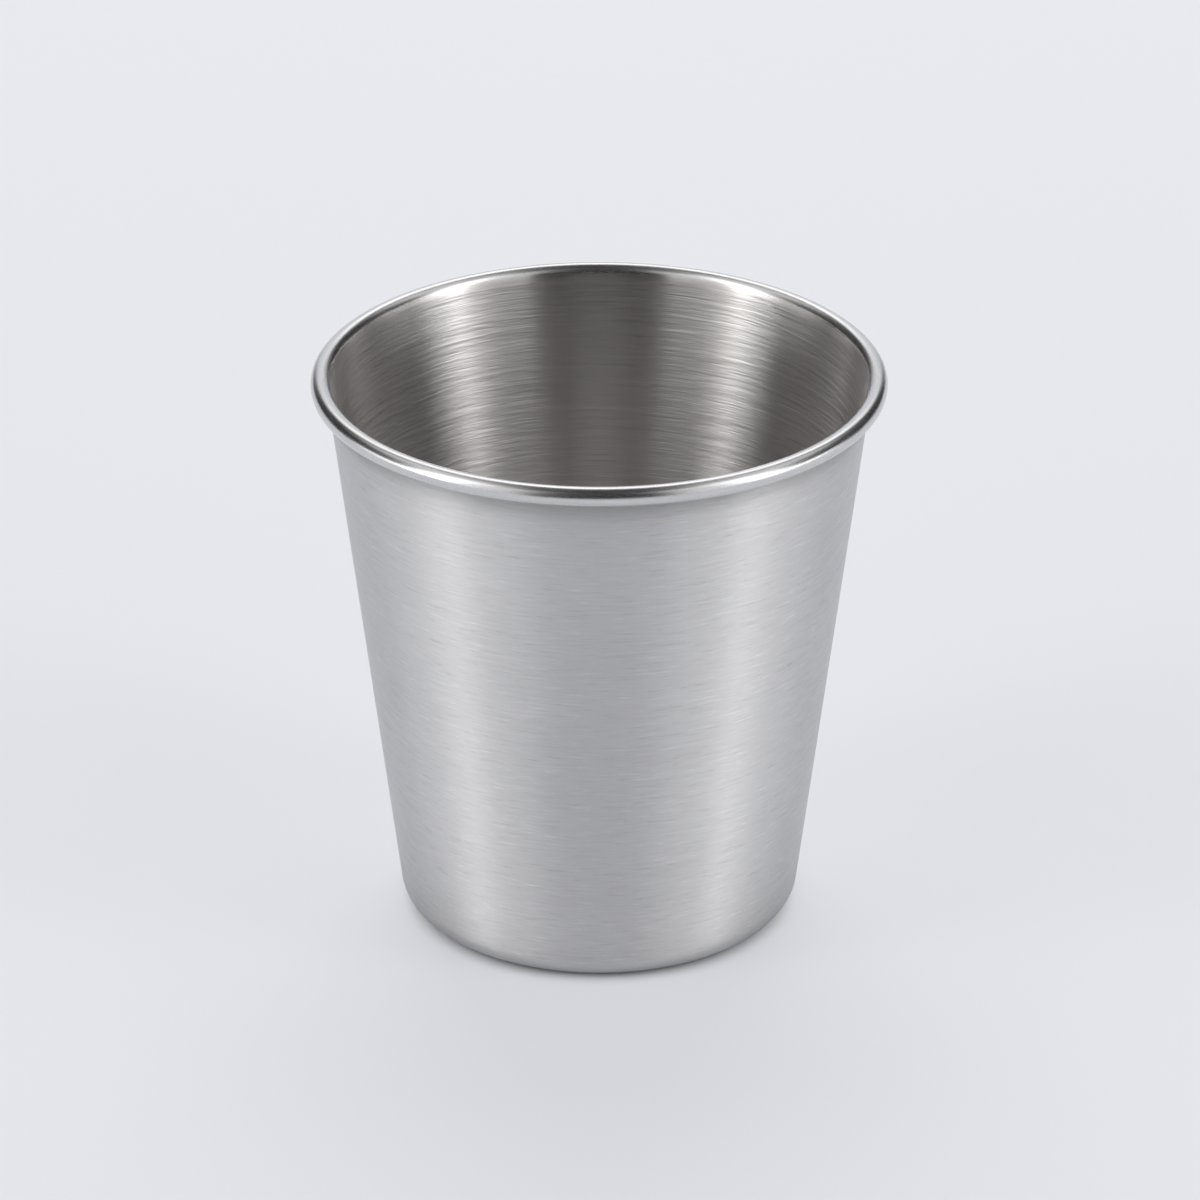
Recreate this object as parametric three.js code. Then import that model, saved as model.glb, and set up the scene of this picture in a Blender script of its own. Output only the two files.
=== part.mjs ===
// A tapered drinking cup, drawn from one disc of stainless steel sheet.
//
// Millimetres, +Z up. The origin is the centre of the foot, on the surface that the cup stands on.
// The whole cup is one sheet of even thickness, so it is built from the line that runs down the middle of the
// sheet, from the centre of the base to the cut edge of the rolled rim. Half a thickness to either side of that
// line gives the closed section, and the section is turned about the axis.

import * as THREE from 'three';

// Driving dimensions
const RIM_DIAMETER = 75.0; // over the outside of the rolled rim
const HEIGHT = 76.0; // from the foot to the top of the rim
const FOOT_DIAMETER = 52.0; // where the outside of the wall, carried straight down, would meet the table
const SHEET = 0.7; // thickness of the steel
const RIM_BEAD_DIAMETER = 2.6; // outside of the rolled edge
const RIM_SLIT = 0.2; // clear gap between the cut edge of the roll and the wall
const LIP_RADIUS = 6.0; // inside of the slow outward curve from wall to roll
const LIP_TURN = 18.0; // degrees from upright where the roll takes over from the lip
const CORNER_RADIUS = 4.0; // outside of the bend from wall to base
const FOOT_RING_WIDTH = 2.5; // flat ring that the cup stands on
const PANEL_RISE = 0.8; // height of the base panel above the foot ring
const PANEL_BEND_RADIUS = 2.5; // middle of the sheet, at both bends between foot ring and panel

// Steps in the turned section and around the axis
const STEPS_AROUND = 72;
const LIP_STEPS = 3;
const RIM_QUARTER_STEPS = 4;
const RIM_END_STEPS = 1;
const CORNER_STEPS = 6;
const PANEL_BEND_STEPS = 2;

const STEEL_COLOUR = 0xb9b6b2;
const STEEL_ROUGHNESS = 0.32;

// A point of the section: r is the distance from the axis, z the height.
function point(r, z) {
  return new THREE.Vector2(r, z);
}

// The unit vector at an angle, in radians, from the outward radial direction towards +Z.
function heading(angle) {
  return point(Math.cos(angle), Math.sin(angle));
}

// One place on the middle line of the sheet. side points from the middle to the sheet's outer face, the face that
// looks down under the base and away from the axis on the wall.
function station(middle, side) {
  return { middle, side };
}

// An arc of the middle line. The side vector turns from one angle to the other. It points away from the arc's
// centre where the outer face is the convex one, and towards the centre where it is the hollow one.
function bend(centre, radius, fromSide, toSide, outerFaceIsConvex, steps) {
  const reach = outerFaceIsConvex ? radius : -radius;
  return Array.from({ length: steps + 1 }, (_, i) => {
    const side = heading(THREE.MathUtils.lerp(fromSide, toSide, i / steps));
    return station(centre.clone().addScaledVector(side, reach), side);
  });
}

// The taper of the wall: its outer line starts at the foot and just touches the circle of the lip's outer face.
// The angle is measured from the axis.
function wallTaper(foot, lipCentre, lipHollow) {
  const reach = lipCentre.clone().sub(foot);
  return Math.atan2(reach.x, reach.y) - Math.asin(lipHollow / reach.length());
}

// The middle line of the sheet, as stations from the axis outwards, up the wall and round the rim.
function sheetLine() {
  const halfSheet = SHEET / 2;
  const beadRadius = RIM_BEAD_DIAMETER / 2;
  const rimCentre = point(RIM_DIAMETER / 2 - beadRadius, HEIGHT - beadRadius);
  const foot = point(FOOT_DIAMETER / 2, 0);

  // The lip leans out slowly from the wall. Where it has turned far enough, the tighter roll takes over from it.
  const lipSide = -THREE.MathUtils.degToRad(LIP_TURN);
  const lipOffset = LIP_RADIUS - beadRadius;
  const lipHollow = LIP_RADIUS - SHEET;
  const lipCentre = rimCentre.clone().addScaledVector(heading(lipSide), lipOffset);
  const taper = wallTaper(foot, lipCentre, lipHollow);

  const down = -Math.PI / 2;
  const wallSide = -taper;
  const lip = bend(lipCentre, LIP_RADIUS - halfSheet, wallSide, lipSide, false, LIP_STEPS);

  // The corner between wall and base, with the foot ring ending where it begins.
  const cornerInset = CORNER_RADIUS * (1 / Math.cos(taper) - Math.tan(taper));
  const cornerCentre = point(foot.x - cornerInset, CORNER_RADIUS);
  const corner = bend(cornerCentre, CORNER_RADIUS - halfSheet, down, wallSide, true, CORNER_STEPS);

  // The panel is pushed up inside the foot ring by two equal and opposite bends.
  const panelTurn = Math.acos(1 - PANEL_RISE / (2 * PANEL_BEND_RADIUS));
  const panelRun = 2 * PANEL_BEND_RADIUS * Math.sin(panelTurn);
  const ringInside = cornerCentre.x - FOOT_RING_WIDTH;
  const slopeSide = down - panelTurn;
  const panelBendCentre = point(ringInside - panelRun, halfSheet + PANEL_RISE - PANEL_BEND_RADIUS);
  const ringBendCentre = point(ringInside, halfSheet + PANEL_BEND_RADIUS);
  const panelBend = bend(panelBendCentre, PANEL_BEND_RADIUS, down, slopeSide, false, PANEL_BEND_STEPS);
  const ringBend = bend(ringBendCentre, PANEL_BEND_RADIUS, slopeSide, down, true, PANEL_BEND_STEPS);

  // The rim rolls outwards and down, so the wall's outer face becomes the inside of the roll. It stops where the
  // outer corner of its cut edge is the width of the slit from the wall's line. It is stepped by quarters, so that
  // the section has a point at the very top and one at the widest place.
  const wallGap = lipHollow - lipOffset * Math.cos(taper + lipSide);
  const rollPastBottom = Math.asin((wallGap - RIM_SLIT) / beadRadius);
  const rollEnd = wallSide + 3 * down - rollPastBottom;
  const rollRadius = beadRadius - halfSheet;
  const roll = [
    ...bend(rimCentre, rollRadius, lipSide, down, false, RIM_QUARTER_STEPS).slice(1),
    ...bend(rimCentre, rollRadius, down, 2 * down, false, RIM_QUARTER_STEPS).slice(1),
    ...bend(rimCentre, rollRadius, 2 * down, 3 * down, false, RIM_QUARTER_STEPS).slice(1),
    ...bend(rimCentre, rollRadius, 3 * down, rollEnd, false, RIM_END_STEPS).slice(1),
  ];

  const centre = station(point(0, halfSheet + PANEL_RISE), heading(down));
  return [centre, ...panelBend, ...ringBend.slice(1), ...corner, ...lip, ...roll];
}

// The closed section: out along the outer face, across the cut edge, and back along the inner face to the axis.
function cupSection() {
  const line = sheetLine();
  const face = (offset) => line.map(({ middle, side }) => middle.clone().addScaledVector(side, offset));
  return [...face(SHEET / 2), ...face(-SHEET / 2).reverse()];
}

function cupShell() {
  const steel = new THREE.MeshStandardMaterial({
    color: STEEL_COLOUR,
    roughness: STEEL_ROUGHNESS,
    metalness: 1,
  });
  // The section is turned about Y, then stood up so that Y becomes Z.
  const turned = new THREE.LatheGeometry(cupSection(), STEPS_AROUND).rotateX(Math.PI / 2);
  const shell = new THREE.Mesh(turned, steel);
  shell.name = 'cup_shell';
  return shell;
}

const cup = new THREE.Group();
cup.add(cupShell());

export default cup;
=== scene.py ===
"""A stainless steel cup, brushed outside and turned inside, on a pale studio floor."""

import math
from collections import namedtuple

import bpy
import numpy as np
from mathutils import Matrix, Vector


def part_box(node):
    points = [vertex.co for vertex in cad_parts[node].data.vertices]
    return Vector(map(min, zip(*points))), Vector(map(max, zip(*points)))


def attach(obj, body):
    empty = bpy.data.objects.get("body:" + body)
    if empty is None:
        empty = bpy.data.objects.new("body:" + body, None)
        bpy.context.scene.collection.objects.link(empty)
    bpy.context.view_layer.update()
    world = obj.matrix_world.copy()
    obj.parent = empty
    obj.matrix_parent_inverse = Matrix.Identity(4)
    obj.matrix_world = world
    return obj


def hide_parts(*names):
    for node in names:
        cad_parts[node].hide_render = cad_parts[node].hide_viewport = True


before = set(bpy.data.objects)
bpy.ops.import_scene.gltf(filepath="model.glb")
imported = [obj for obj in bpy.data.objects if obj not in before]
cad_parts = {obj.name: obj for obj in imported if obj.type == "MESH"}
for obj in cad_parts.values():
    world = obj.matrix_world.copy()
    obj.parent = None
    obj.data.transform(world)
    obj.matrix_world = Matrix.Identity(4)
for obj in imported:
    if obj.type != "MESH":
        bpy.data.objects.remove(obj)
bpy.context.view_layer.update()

MM = 0.001

# Sizes of the cup, in metres. The rim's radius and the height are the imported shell's own.
SHELL_NODE = "cup_shell"
shell_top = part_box(SHELL_NODE)[1]
RIM_RADIUS = shell_top.x
HEIGHT = shell_top.z
FOOT_RADIUS = 26.0 * MM
SHEET = 0.7 * MM
BEAD_RADIUS = 1.3 * MM
LIP_RADIUS = 6.0 * MM
LIP_TURN = math.radians(18.0)
RIM_SLIT = 0.2 * MM
CORNER_RADIUS = 4.0 * MM
FOOT_RING_WIDTH = 2.5 * MM
PANEL_RISE = 0.8 * MM
PANEL_BEND_RADIUS = 2.5 * MM

# How finely the surface is divided.
STEPS_AROUND = 320
PANEL_STEPS = 12
PANEL_BEND_STEPS = 6
RING_STEPS = 2
CORNER_STEPS = 16
WALL_STEPS = 40
LIP_STEPS = 8
ROLL_STEPS = 40
EDGE_STEPS = 6

# The maps and attributes that the finishes read.
SHEET_MAP = "sheet"
BAKE_MAP = "OFBake"
POLISH = "polish"
# The next attribute holds painted shade: how much the steel's colour is darkened under the roll and at
# the foot.
PAINTED_SHADE = "painted_shade"

# Where the polish and the painted shade lie. The polish fades out on either side of the roll. The painted
# shade darkens the steel's colour: it fades down the wall from just under the roll, and up the wall from
# the foot.
POLISH_FADE = 1.6 * MM
PAINTED_SHADE_STRENGTH = 0.55
PAINTED_SHADE_START = 0.5 * MM
PAINTED_SHADE_FALLOFF = 1.3 * MM
FOOT_PAINTED_SHADE = 0.65
FOOT_PAINTED_SHADE_HEIGHT = 1.8 * MM

# The steel. The default tangent runs round the axis, so a quarter turn spreads the gloss along the
# profile.
STEEL_COLOUR = (0.68, 0.675, 0.675)
TURNED_COLOUR = (0.698, 0.68, 0.672)
POLISHED_COLOUR = (0.65, 0.645, 0.645)
ALONG_THE_PROFILE = 0.25
POLISHED_ROUGHNESS = 0.27

# The lines in the steel: how many finer steps of detail the noise has, how strong each step is beside
# the one before, and how far the noise is stretched. Each set of lines starts at its own place in the
# noise. The clouds are very wide lines.
LINE_DETAIL = 3.0
LINE_EVENNESS = 0.8
LINE_GAIN = 8.0
GRAIN_SEED = 0.0
DRAG_SEED = 400.0
CLOUD_SEED = 800.0
CLOUD_WIDTH = 9.0 * MM
CLOUD_TURNS = 1.6
CLOUD_TONE = 0.012

# A finish: its colour, roughness and anisotropy, then the width of its widest lines, the radius of the
# circle that sets their length, and how far they shift the tone, the roughness and the height.
Finish = namedtuple("Finish", [
    "name", "colour", "roughness", "anisotropy",
    "line_width", "line_turns", "tone_swing", "roughness_swing", "line_height",
])
OUTSIDE = Finish(
    "brushed outside", STEEL_COLOUR, 0.39, 0.9,
    0.34 * MM, 7.0, 0.06, 0.006, 0.0020 * MM,
)
RIM = Finish(
    "polished rim", POLISHED_COLOUR, POLISHED_ROUGHNESS, 0.2,
    0.40 * MM, 3.0, 0.04, 0.02, 0.001 * MM,
)
INSIDE = Finish(
    "turned inside", TURNED_COLOUR, 0.33, 1.0,
    0.95 * MM, 1.9, 0.05, 0.0, 0.019 * MM,
)
FINISHES = (OUTSIDE, RIM, INSIDE)

# The camera, from the outlines of the photograph. The focal length is in pixels of the 1200-pixel
# frame.
FRAME_PIXELS = 1200
FOCAL_PIXELS = 7524.0
SENSOR_WIDTH = 36.0
CAMERA_DISTANCE = 0.9917
CAMERA_ELEVATION = math.radians(25.49)
LOOK_AT_HEIGHT = 43.09 * MM
AXIS_PIXEL_X = 599.2
CLIP_NEAR = 0.01
CLIP_FAR = 50.0

# The floor. It is painted board. For the camera and in the steel, a share of the background's own colour
# is laid over it as painted light, which hides the horizon and pales the cup's shadow. That share grows
# from nothing at the contact radius to the near glow at the clear radius, so the shade shows fully only
# round the foot, and from the near distance to the far distance it grows to the whole.
FLOOR_COLOUR = (0.82, 0.83, 0.87)
FLOOR_ROUGHNESS = 0.9
FLOOR_SPECULAR = 0.2
FLOOR_SIZE = 12.0
FLOOR_STEPS = 8
FLOOR_GLOW = 0.60
FLOOR_CONTACT = 23.7 * MM
FLOOR_CLEAR = 27.2 * MM
FLOOR_NEAR = 0.45
FLOOR_FAR = 1.6
BACKGROUND_COLOUR = (0.79, 0.80, 0.84)

# The contact shade is squeezed along X: a little for the camera, and drawn out to the sides in the steel,
# where it is a painted reflection of a wider shade than the floor shows the camera.
CONTACT_SQUEEZE = (1.015, 1.0, 1.0)
MIRROR_SQUEEZE = (0.60, 1.0, 1.0)

# A patch of the studio's walls, alike on the left and on the right. The angles are in degrees. Azimuth
# goes from 0 at the camera's side to 180 at the back, and elevation from the floor up. Each edge fades
# over its own blur.
Patch = namedtuple("Patch", ["azimuth", "azimuth_blur", "elevation", "elevation_blur"])
SIDE_PANEL = Patch((60, 75), (3, 13.5), (-20, 50), (5, 18))
LOW_SIDE_PANEL = Patch((74, 103), (5, 12), (-20, 9.5), (5, 4))
FLANK_PANEL = Patch((29.5, 63), (1.5, 3), (-20, 57), (5, 6))
TOP_PANEL = Patch((66, 140), (10, 10), (40, 70), (7, 10))
BACK_PANEL = Patch((154, 200), (8, 5), (29, 58), (5, 6))
BACKDROP = Patch((158, 200), (8, 5), (-20, 27), (5, 6))

# The radiance of the dark room, and of each panel on top of it.
ROOM_LEVEL = 0.035
PANEL_RADIANCES = (
    (SIDE_PANEL, 4.0),
    (LOW_SIDE_PANEL, 2.2),
    (FLANK_PANEL, 0.85),
    (TOP_PANEL, 0.8),
    (BACK_PANEL, 1.9),
)

# The lamp that lights the floor from behind and above. The steel doesn't mirror it.
FILL_ELEVATION = math.radians(56)
FILL_DISTANCE = 1.5
FILL_SIDE = 1.2
FILL_RADIANCE = 2.3
FILL_COLOUR = (0.97, 0.98, 1.0)

# Light goes to and fro inside the cup more often than the renderer allows by default.
GLOSSY_BOUNCES = 12


def bend(centre, radius, from_side, to_side, outer_face_convex, steps):
    """An arc of the sheet's middle line: the side vector turns evenly from one angle to the other, and
    the line lies one radius along it from the centre, or against it where the outer face is the hollow
    one."""
    angle = np.linspace(from_side, to_side, steps + 1)
    side = np.stack([np.cos(angle), np.sin(angle)], axis=1)
    reach = radius if outer_face_convex else -radius
    return np.asarray(centre) + reach * side, side


def straight(start, stop, side_angle, steps):
    """The inner points of a straight stretch of the middle line, evenly spaced, with one side
    vector."""
    share = np.linspace(0.0, 1.0, steps + 1)[1:-1, None]
    side = np.array([math.cos(side_angle), math.sin(side_angle)])
    return (1.0 - share) * start + share * stop, np.repeat(side[None], len(share), axis=0)


def without_first(stretch):
    """A stretch of the middle line less the point that it shares with the stretch before it."""
    points, sides = stretch
    return points[1:], sides[1:]


def sheet_line():
    """The middle line of the sheet from the axis to the cut edge, as points, side vectors and the index
    at which the roll begins. The wall's outer line starts at the foot and touches the outer face of the
    lip, a slow curve that passes into the roll where it has leant out by the lip's turn."""
    half = SHEET / 2
    down = -math.pi / 2
    rim_centre = np.array([RIM_RADIUS - BEAD_RADIUS, HEIGHT - BEAD_RADIUS])
    lip_offset = LIP_RADIUS - BEAD_RADIUS
    lip_hollow = LIP_RADIUS - SHEET
    lip_centre = rim_centre + lip_offset * np.array([math.cos(LIP_TURN), -math.sin(LIP_TURN)])
    reach = lip_centre - np.array([FOOT_RADIUS, 0.0])
    taper = math.atan2(reach[0], reach[1]) - math.asin(lip_hollow / np.hypot(*reach))

    inset = CORNER_RADIUS * (1 / math.cos(taper) - math.tan(taper))
    corner_centre = np.array([FOOT_RADIUS - inset, CORNER_RADIUS])
    corner = bend(corner_centre, CORNER_RADIUS - half, down, -taper, True, CORNER_STEPS)

    turn = math.acos(1 - PANEL_RISE / (2 * PANEL_BEND_RADIUS))
    run = 2 * PANEL_BEND_RADIUS * math.sin(turn)
    ring_inside = corner_centre[0] - FOOT_RING_WIDTH
    panel_centre = [ring_inside - run, half + PANEL_RISE - PANEL_BEND_RADIUS]
    ring_centre = [ring_inside, half + PANEL_BEND_RADIUS]
    panel_bend = bend(panel_centre, PANEL_BEND_RADIUS, down, down - turn, False, PANEL_BEND_STEPS)
    ring_bend = bend(ring_centre, PANEL_BEND_RADIUS, down - turn, down, True, PANEL_BEND_STEPS)
    ring_bend = without_first(ring_bend)
    panel = straight(np.array([0.0, panel_bend[0][0, 1]]), panel_bend[0][0], down, PANEL_STEPS)
    ring = straight(ring_bend[0][-1], corner[0][0], down, RING_STEPS)

    wall_gap = lip_hollow - lip_offset * math.cos(LIP_TURN - taper)
    past_bottom = math.asin((wall_gap - RIM_SLIT) / BEAD_RADIUS)
    roll_end = 3 * down - taper - past_bottom
    lip = bend(lip_centre, LIP_RADIUS - half, -taper, -LIP_TURN, False, LIP_STEPS)
    roll = without_first(bend(rim_centre, BEAD_RADIUS - half, -LIP_TURN, roll_end, False, ROLL_STEPS))
    wall = straight(corner[0][-1], lip[0][0], -taper, WALL_STEPS)

    stretches = [panel, panel_bend, ring_bend, ring, corner, wall, lip, roll]
    points = np.concatenate([stretch[0] for stretch in stretches])
    sides = np.concatenate([stretch[1] for stretch in stretches])
    return points, sides, len(points) - len(roll[0])


def cup_section():
    """The closed section of the sheet: its outer face from the axis to the cut edge, the rounded edge,
    and its inner face back to the axis. Returns the points, which of them belong to the rim, and which
    to the inside."""
    points, sides, roll_start = sheet_line()
    half = SHEET / 2
    last_side = sides[-1]
    forward = np.array([last_side[1], -last_side[0]])
    if np.dot(forward, points[-1] - points[-2]) < 0:
        forward = -forward
    angle = np.linspace(0.0, math.pi, EDGE_STEPS + 2)[1:-1, None]
    edge = points[-1] + half * (np.cos(angle) * last_side + np.sin(angle) * forward)
    section = np.concatenate([points + half * sides, edge, (points - half * sides)[::-1]])
    index = np.arange(len(section))
    mirrored = len(section) - 1 - index
    is_rim = (index >= roll_start) & (mirrored >= roll_start)
    is_inside = mirrored < len(points)
    return section, is_rim, is_inside


def turned_surface(name, section):
    """The section carried round the Z axis: each point of the section, at radius r and height z, stands
    at (r cos t, r sin t, z) for each angle t, with one point on the axis at each end. The sheet map
    holds the share of a turn and the length along the section, and the bake map the same two scaled to
    fill a unit square."""
    rings = len(section)
    angle = np.arange(STEPS_AROUND) * (2 * math.pi / STEPS_AROUND)
    ring_points = np.stack([
        section[:, 0, None] * np.cos(angle),
        section[:, 0, None] * np.sin(angle),
        np.repeat(section[:, 1, None], STEPS_AROUND, axis=1),
    ], axis=2)
    poles = np.array([[0.0, 0.0, section[0, 1]], [0.0, 0.0, section[-1, 1]]])
    vertices = np.concatenate([ring_points.reshape(-1, 3), poles])

    # Four-sided faces between the rings, and a fan of triangles from each pole.
    ring, step = np.meshgrid(np.arange(rings - 1), np.arange(STEPS_AROUND), indexing="ij")
    next_step = (step + 1) % STEPS_AROUND
    quads = np.stack([
        ring * STEPS_AROUND + step,
        ring * STEPS_AROUND + next_step,
        (ring + 1) * STEPS_AROUND + next_step,
        (ring + 1) * STEPS_AROUND + step,
    ], axis=2).reshape(-1, 4)
    around = np.arange(STEPS_AROUND)
    onward = (around + 1) % STEPS_AROUND
    first_pole = np.full(STEPS_AROUND, rings * STEPS_AROUND)
    last_pole = first_pole + 1
    last_ring = (rings - 1) * STEPS_AROUND
    under_fan = np.stack([first_pole, onward, around], axis=1)
    inside_fan = np.stack([last_pole, last_ring + around, last_ring + onward], axis=1)
    faces = [*quads.tolist(), *under_fan.tolist(), *inside_fan.tolist()]

    # The sheet map, corner by corner in the order of the faces.
    length = np.concatenate([[section[0, 0]], np.hypot(*np.diff(section, axis=0).T)]).cumsum()
    total = length[-1] + section[-1, 0]
    u_start = step / STEPS_AROUND
    u_end = (step + 1) / STEPS_AROUND
    v_start = length[ring]
    v_end = length[ring + 1]
    quad_map = np.stack([
        np.stack([u_start, u_end, u_end, u_start], axis=2),
        np.stack([v_start, v_start, v_end, v_end], axis=2),
    ], axis=3)
    fan_start = around / STEPS_AROUND
    fan_end = (around + 1) / STEPS_AROUND
    fan_middle = (fan_start + fan_end) / 2
    under_length = np.tile([0.0, length[0], length[0]], (STEPS_AROUND, 1))
    inside_length = np.tile([total, length[-1], length[-1]], (STEPS_AROUND, 1))
    under_map = np.stack([np.stack([fan_middle, fan_end, fan_start], axis=1), under_length], axis=2)
    inside_map = np.stack([np.stack([fan_middle, fan_start, fan_end], axis=1), inside_length], axis=2)
    sheet_map = np.concatenate([corners.reshape(-1, 2) for corners in (quad_map, under_map, inside_map)])

    mesh = bpy.data.meshes.new(name)
    mesh.from_pydata(vertices, [], faces)
    for map_name, scale in ((BAKE_MAP, (1.0, 1.0 / total)), (SHEET_MAP, (1.0, 1.0))):
        layer = mesh.uv_layers.new(name=map_name)
        layer.data.foreach_set("uv", (sheet_map * scale).astype(np.float32).ravel())
    mesh.polygons.foreach_set("use_smooth", np.ones(len(mesh.polygons), bool))
    piece = bpy.data.objects.new(name, mesh)
    bpy.context.collection.objects.link(piece)
    return piece, length


def paint_zones(piece, section, length, is_rim, is_inside):
    """Gives each face its finish, and each point its polish and its painted shade. Polish is 1 on the
    rolled rim and falls smoothly to 0 over the fade length on either side of it. The painted shade
    darkens the steel's colour: it is 1 where the outer wall meets the roll, falls off exponentially down
    the wall, and rises again in the same way towards the foot."""
    rim_length = length[is_rim]
    gap = np.maximum(np.maximum(rim_length[0] - length, length - rim_length[-1]), 0.0)
    share = np.clip(1.0 - gap / POLISH_FADE, 0.0, 1.0)
    polish = share * share * (3.0 - 2.0 * share)
    height = section[:, 1]
    # Painted shade: darker steel just under the roll, and towards the foot.
    below = np.maximum(HEIGHT - 2 * BEAD_RADIUS - PAINTED_SHADE_START - height, 0.0)
    foot = FOOT_PAINTED_SHADE * np.exp(-height / FOOT_PAINTED_SHADE_HEIGHT)
    painted_shade = np.where(is_inside | is_rim, 0.0, np.maximum(np.exp(-below / PAINTED_SHADE_FALLOFF), foot))
    for name, values in ((POLISH, polish), (PAINTED_SHADE, painted_shade)):
        attribute = piece.data.attributes.new(name, "FLOAT", "POINT")
        spread = np.concatenate([np.repeat(values, STEPS_AROUND), [0.0, 0.0]])
        attribute.data.foreach_set("value", spread.astype(np.float32))

    outside, rim, inside = map(FINISHES.index, (OUTSIDE, RIM, INSIDE))
    zone = np.where(is_rim, rim, np.where(is_inside, inside, outside))
    band = np.where(is_rim[:-1] & is_rim[1:], rim, np.where(is_rim[:-1], zone[1:], zone[:-1]))
    fans = [np.full(STEPS_AROUND, outside), np.full(STEPS_AROUND, inside)]
    faces = np.concatenate([np.repeat(band, STEPS_AROUND), *fans])
    piece.data.polygons.foreach_set("material_index", faces.astype(np.int32))


class Nodes:
    """A node tree with short calls to add a node, set its inputs and link it."""

    def __init__(self, tree):
        self.tree = tree

    def add(self, kind, inputs=None, **settings):
        node = self.tree.nodes.new(kind)
        for key, value in settings.items():
            setattr(node, key, value)
        for key, value in (inputs or {}).items():
            self.feed(node.inputs[key], value)
        return node

    def feed(self, socket, value):
        if isinstance(value, bpy.types.NodeSocket):
            self.tree.links.new(value, socket)
        else:
            socket.default_value = value

    def math(self, operation, *values):
        node = self.add("ShaderNodeMath", operation=operation)
        for socket, value in zip(node.inputs, values):
            self.feed(socket, value)
        return node.outputs[0]

    def distance(self, place):
        node = self.add("ShaderNodeVectorMath", {0: place}, operation="LENGTH")
        return node.outputs["Value"]

    def spread(self, value, low, high, to_low=0.0, to_high=1.0, smooth=False):
        kind = "SMOOTHSTEP" if smooth else "LINEAR"
        node = self.add("ShaderNodeMapRange", interpolation_type=kind, clamp=not smooth)
        keys = ("Value", "From Min", "From Max", "To Min", "To Max")
        for key, number in zip(keys, (value, low, high, to_low, to_high)):
            self.feed(node.inputs[key], number)
        return node.outputs[0]

    def blend_colours(self, share, first, second):
        """The node keeps a set of sockets for each kind of value, so the ones for colours go by
        identifier."""
        node = self.add("ShaderNodeMix", data_type="RGBA")
        sockets = {socket.identifier: socket for socket in (*node.inputs, *node.outputs)}
        self.feed(sockets["Factor_Float"], share)
        self.feed(sockets["A_Color"], first)
        self.feed(sockets["B_Color"], second)
        return sockets["Result_Color"]


def brush_lines_group():
    """Lines that a tool leaves round the cup, mostly from -1 to 1. A noise is read at a point that goes
    once round a circle in a turn, whose radius sets how many lines follow one another round the cup,
    and that climbs one unit for each line's width along the sheet, so a line is long round the cup and
    thin across it and has no seam. The noise adds shorter and thinner lines of nearly the same strength
    to the long ones."""
    group = bpy.data.node_groups.new("brush lines", "ShaderNodeTree")
    for name in ("Width", "Turns", "Seed"):
        group.interface.new_socket(name, in_out="INPUT", socket_type="NodeSocketFloat")
    group.interface.new_socket("Lines", in_out="OUTPUT", socket_type="NodeSocketFloat")
    nodes = Nodes(group)
    given = nodes.add("NodeGroupInput").outputs
    place = nodes.add("ShaderNodeUVMap", uv_map=SHEET_MAP).outputs["UV"]
    along = nodes.add("ShaderNodeSeparateXYZ", {"Vector": place}).outputs
    angle = nodes.math("MULTIPLY", along["X"], 2 * math.pi)
    east = nodes.math("MULTIPLY", nodes.math("COSINE", angle), given["Turns"])
    north = nodes.math("MULTIPLY", nodes.math("SINE", angle), given["Turns"])
    climb = nodes.math("ADD", nodes.math("DIVIDE", along["Y"], given["Width"]), given["Seed"])
    point = nodes.add("ShaderNodeCombineXYZ", {"X": east, "Y": north, "Z": climb}).outputs[0]
    noise = nodes.add("ShaderNodeTexNoise", {
        "Vector": point, "Scale": 1.0, "Detail": LINE_DETAIL, "Roughness": LINE_EVENNESS,
    })
    lines = nodes.math("MULTIPLY_ADD", noise.outputs["Fac"], LINE_GAIN, -LINE_GAIN / 2)
    nodes.add("NodeGroupOutput", {"Lines": lines})
    return group


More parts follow.
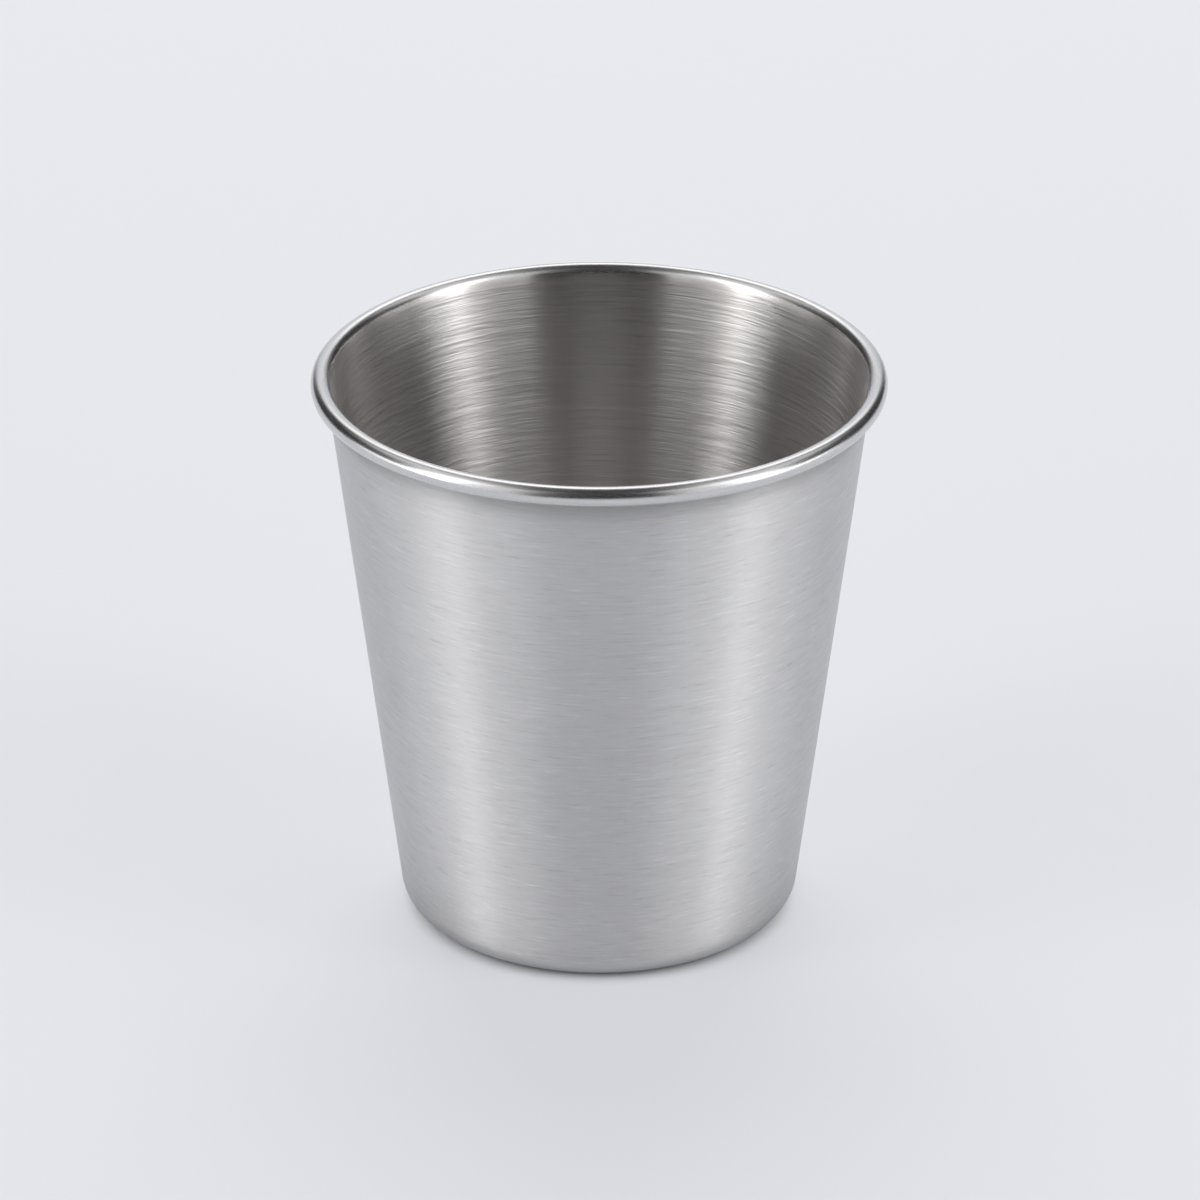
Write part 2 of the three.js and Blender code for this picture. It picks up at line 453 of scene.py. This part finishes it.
def steel(finish, lines):
    """Stainless steel with the lines of its last working. The grain sets the height of the surface, and
    its strongest lines show as scratches in the tone. A slow cloud shifts the tone as well. On some
    finishes a second set of lines shifts the roughness. The polish attribute smooths the steel towards
    the rim, and the painted shade attribute darkens its colour under the roll and at the foot, as painted
    shade."""
    material = bpy.data.materials.new(finish.name)
    material.use_nodes = True
    nodes = Nodes(material.node_tree)
    shader = material.node_tree.nodes["Principled BSDF"]
    shader.inputs["Metallic"].default_value = 1.0
    shader.inputs["Anisotropic"].default_value = finish.anisotropy
    shader.inputs["Anisotropic Rotation"].default_value = ALONG_THE_PROFILE

    def layer(width, turns, seed):
        node = nodes.add("ShaderNodeGroup", node_tree=lines)
        for key, value in (("Width", width), ("Turns", turns), ("Seed", seed)):
            node.inputs[key].default_value = value
        return node.outputs["Lines"]

    def attribute(name):
        return nodes.add("ShaderNodeAttribute", attribute_name=name).outputs["Fac"]

    grain = layer(finish.line_width, finish.line_turns, GRAIN_SEED)
    cloud = layer(CLOUD_WIDTH, CLOUD_TURNS, CLOUD_SEED)
    worked = nodes.math("SUBTRACT", 1.0, attribute(POLISH))

    roughness = nodes.spread(worked, 0.0, 1.0, POLISHED_ROUGHNESS, finish.roughness)
    if finish.roughness_swing:
        drag = layer(finish.line_width, finish.line_turns, DRAG_SEED)
        roughness = nodes.math("MULTIPLY_ADD", drag, finish.roughness_swing, roughness)
    nodes.feed(shader.inputs["Roughness"], roughness)

    scratches = nodes.math("MULTIPLY", grain, nodes.math("ABSOLUTE", grain))
    shift = nodes.math("MULTIPLY", scratches, finish.tone_swing)
    shift = nodes.math("MULTIPLY_ADD", cloud, CLOUD_TONE, shift)
    # Painted shade darkens the colour under the roll and at the foot.
    unshaded = nodes.math("MULTIPLY_ADD", attribute(PAINTED_SHADE), -PAINTED_SHADE_STRENGTH, 1.0)
    tone = nodes.math("MULTIPLY", nodes.math("ADD", shift, 1.0), unshaded)
    colour = nodes.add("ShaderNodeVectorMath", {0: finish.colour, "Scale": tone}, operation="SCALE")
    nodes.feed(shader.inputs["Base Color"], colour.outputs[0])

    # The height is in metres, so the bump's distance is one.
    height = nodes.math("MULTIPLY", nodes.math("MULTIPLY", grain, finish.line_height), worked)
    bump = nodes.add("ShaderNodeBump", {"Height": height, "Strength": 1.0, "Distance": 1.0})
    nodes.feed(shader.inputs["Normal"], bump.outputs["Normal"])
    return material


def make_cup():
    """The one visible piece, with its three finishes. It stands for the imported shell."""
    section, is_rim, is_inside = cup_section()
    piece, length = turned_surface("cup", section)
    paint_zones(piece, section, length, is_rim, is_inside)
    lines = brush_lines_group()
    for finish in FINISHES:
        piece.data.materials.append(steel(finish, lines))
    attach(piece, "root")
    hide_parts(SHELL_NODE)


def make_floor():
    """A wide flat floor, one grid of points at height 0. Round the foot it is plain painted board that
    takes light and shadow. Beyond that, for the camera and in the steel, painted light of the
    background's own colour is laid over it, which pales the cup's shadow; far away it fades wholly into
    that colour, so that no horizon shows."""
    side = np.linspace(-FLOOR_SIZE / 2, FLOOR_SIZE / 2, FLOOR_STEPS + 1)
    x, y = np.meshgrid(side, side, indexing="xy")
    points = np.stack([x.ravel(), y.ravel(), np.zeros(x.size)], axis=1)
    row, column = np.meshgrid(np.arange(FLOOR_STEPS), np.arange(FLOOR_STEPS), indexing="ij")
    corner = row * (FLOOR_STEPS + 1) + column
    quads = np.stack([corner, corner + 1, corner + FLOOR_STEPS + 2, corner + FLOOR_STEPS + 1], axis=2)
    mesh = bpy.data.meshes.new("floor")
    mesh.from_pydata(points, [], quads.reshape(-1, 4).tolist())
    floor = bpy.data.objects.new("floor", mesh)
    bpy.context.collection.objects.link(floor)

    material = bpy.data.materials.new("pale floor")
    material.use_nodes = True
    nodes = Nodes(material.node_tree)
    shader = material.node_tree.nodes["Principled BSDF"]
    shader.inputs["Base Color"].default_value = (*FLOOR_COLOUR, 1.0)
    shader.inputs["Roughness"].default_value = FLOOR_ROUGHNESS
    shader.inputs["Specular IOR Level"].default_value = FLOOR_SPECULAR
    place = nodes.add("ShaderNodeTexCoord").outputs["Object"]
    far = nodes.spread(nodes.distance(place), FLOOR_NEAR, FLOOR_FAR, smooth=True)

    def glow(squeeze):
        squeezed = nodes.add("ShaderNodeVectorMath", {0: place, 1: squeeze}, operation="MULTIPLY")
        apart = nodes.distance(squeezed.outputs[0])
        near = nodes.spread(apart, FLOOR_CONTACT, FLOOR_CLEAR, 0.0, FLOOR_GLOW, smooth=True)
        return nodes.math("MAXIMUM", near, far)

    # Painted light: the camera and the steel see the background's colour laid over the board; all other
    # rays see the bare board.
    path = nodes.add("ShaderNodeLightPath").outputs
    mirrored = nodes.math("MULTIPLY", path["Is Glossy Ray"], glow(MIRROR_SQUEEZE))
    share = nodes.math("MULTIPLY_ADD", path["Is Camera Ray"], glow(CONTACT_SQUEEZE), mirrored)
    background = nodes.add("ShaderNodeEmission", {"Color": (*BACKGROUND_COLOUR, 1.0), "Strength": 1.0})
    surface = nodes.add("ShaderNodeMixShader", {0: share, 1: shader.outputs[0], 2: background.outputs[0]})
    nodes.feed(material.node_tree.nodes["Material Output"].inputs["Surface"], surface.outputs[0])
    mesh.materials.append(material)


def make_room():
    """The studio round the cup: a dark room with panels of light, and behind the cup a backdrop as pale
    as the floor. The camera sees the backdrop's colour wherever it looks past the floor, and the steel
    sees it behind the cup."""
    world = bpy.data.worlds.new("studio")
    bpy.context.scene.world = world
    world.use_nodes = True
    nodes = Nodes(world.node_tree)
    towards = nodes.add("ShaderNodeTexCoord").outputs["Generated"]
    along = nodes.add("ShaderNodeSeparateXYZ", {"Vector": towards}).outputs
    sideways = nodes.math("ABSOLUTE", along["X"])
    forwards = nodes.math("MULTIPLY", along["Y"], -1.0)
    azimuth = nodes.math("ARCTAN2", sideways, forwards)
    elevation = nodes.math("ARCSINE", along["Z"])

    def covers(patch):
        share = 1.0
        for angle, edges, blurs in (
            (azimuth, patch.azimuth, patch.azimuth_blur),
            (elevation, patch.elevation, patch.elevation_blur),
        ):
            start = [math.radians(edges[0] + way * blurs[0]) for way in (-1, 1)]
            end = [math.radians(edges[1] + way * blurs[1]) for way in (-1, 1)]
            rise = nodes.spread(angle, *start, smooth=True)
            fall = nodes.spread(angle, *end, 1.0, 0.0, smooth=True)
            share = nodes.math("MULTIPLY", share, nodes.math("MULTIPLY", rise, fall))
        return share

    level = ROOM_LEVEL
    for panel, radiance in PANEL_RADIANCES:
        level = nodes.math("MULTIPLY_ADD", covers(panel), radiance, level)
    path = nodes.add("ShaderNodeLightPath").outputs
    mirrored = nodes.math("MULTIPLY", path["Is Glossy Ray"], covers(BACKDROP))
    seen = nodes.math("MAXIMUM", path["Is Camera Ray"], mirrored)
    colour = nodes.blend_colours(seen, level, (*BACKGROUND_COLOUR, 1.0))
    nodes.feed(world.node_tree.nodes["Background"].inputs["Color"], colour)


def make_fill_light():
    """A flat square lamp behind the cup that faces it. Its power is its radiance times pi times its
    area."""
    lamp = bpy.data.lights.new("floor fill", "AREA")
    lamp.shape = "SQUARE"
    lamp.size = FILL_SIDE
    lamp.energy = FILL_RADIANCE * math.pi * FILL_SIDE * FILL_SIDE
    lamp.color = FILL_COLOUR
    holder = bpy.data.objects.new("floor fill", lamp)
    bpy.context.collection.objects.link(holder)
    away = Vector((0.0, math.cos(FILL_ELEVATION), math.sin(FILL_ELEVATION)))
    holder.location = Vector((0.0, 0.0, HEIGHT / 2)) + FILL_DISTANCE * away
    holder.rotation_mode = "QUATERNION"
    holder.rotation_quaternion = (-away).to_track_quat("-Z", "Y")
    holder.visible_camera = False
    holder.visible_glossy = False


def make_camera():
    """The photograph's view: aimed at the look-at height on the cup's axis, from the given distance and
    elevation."""
    camera = bpy.data.objects.new("camera", bpy.data.cameras.new("camera"))
    bpy.context.collection.objects.link(camera)
    camera.data.sensor_width = SENSOR_WIDTH
    camera.data.lens = FOCAL_PIXELS / FRAME_PIXELS * SENSOR_WIDTH
    camera.data.shift_x = (FRAME_PIXELS / 2 - AXIS_PIXEL_X) / FRAME_PIXELS
    camera.data.clip_start = CLIP_NEAR
    camera.data.clip_end = CLIP_FAR
    back = Vector((0.0, -math.cos(CAMERA_ELEVATION), math.sin(CAMERA_ELEVATION)))
    camera.location = Vector((0.0, 0.0, LOOK_AT_HEIGHT)) + CAMERA_DISTANCE * back
    camera.rotation_mode = "QUATERNION"
    camera.rotation_quaternion = (-back).to_track_quat("-Z", "Y")
    bpy.context.scene.camera = camera


make_camera()
make_cup()
make_floor()
make_room()
make_fill_light()
bpy.context.scene.view_settings.view_transform = "Standard"
bpy.context.scene.cycles.glossy_bounces = GLOSSY_BOUNCES
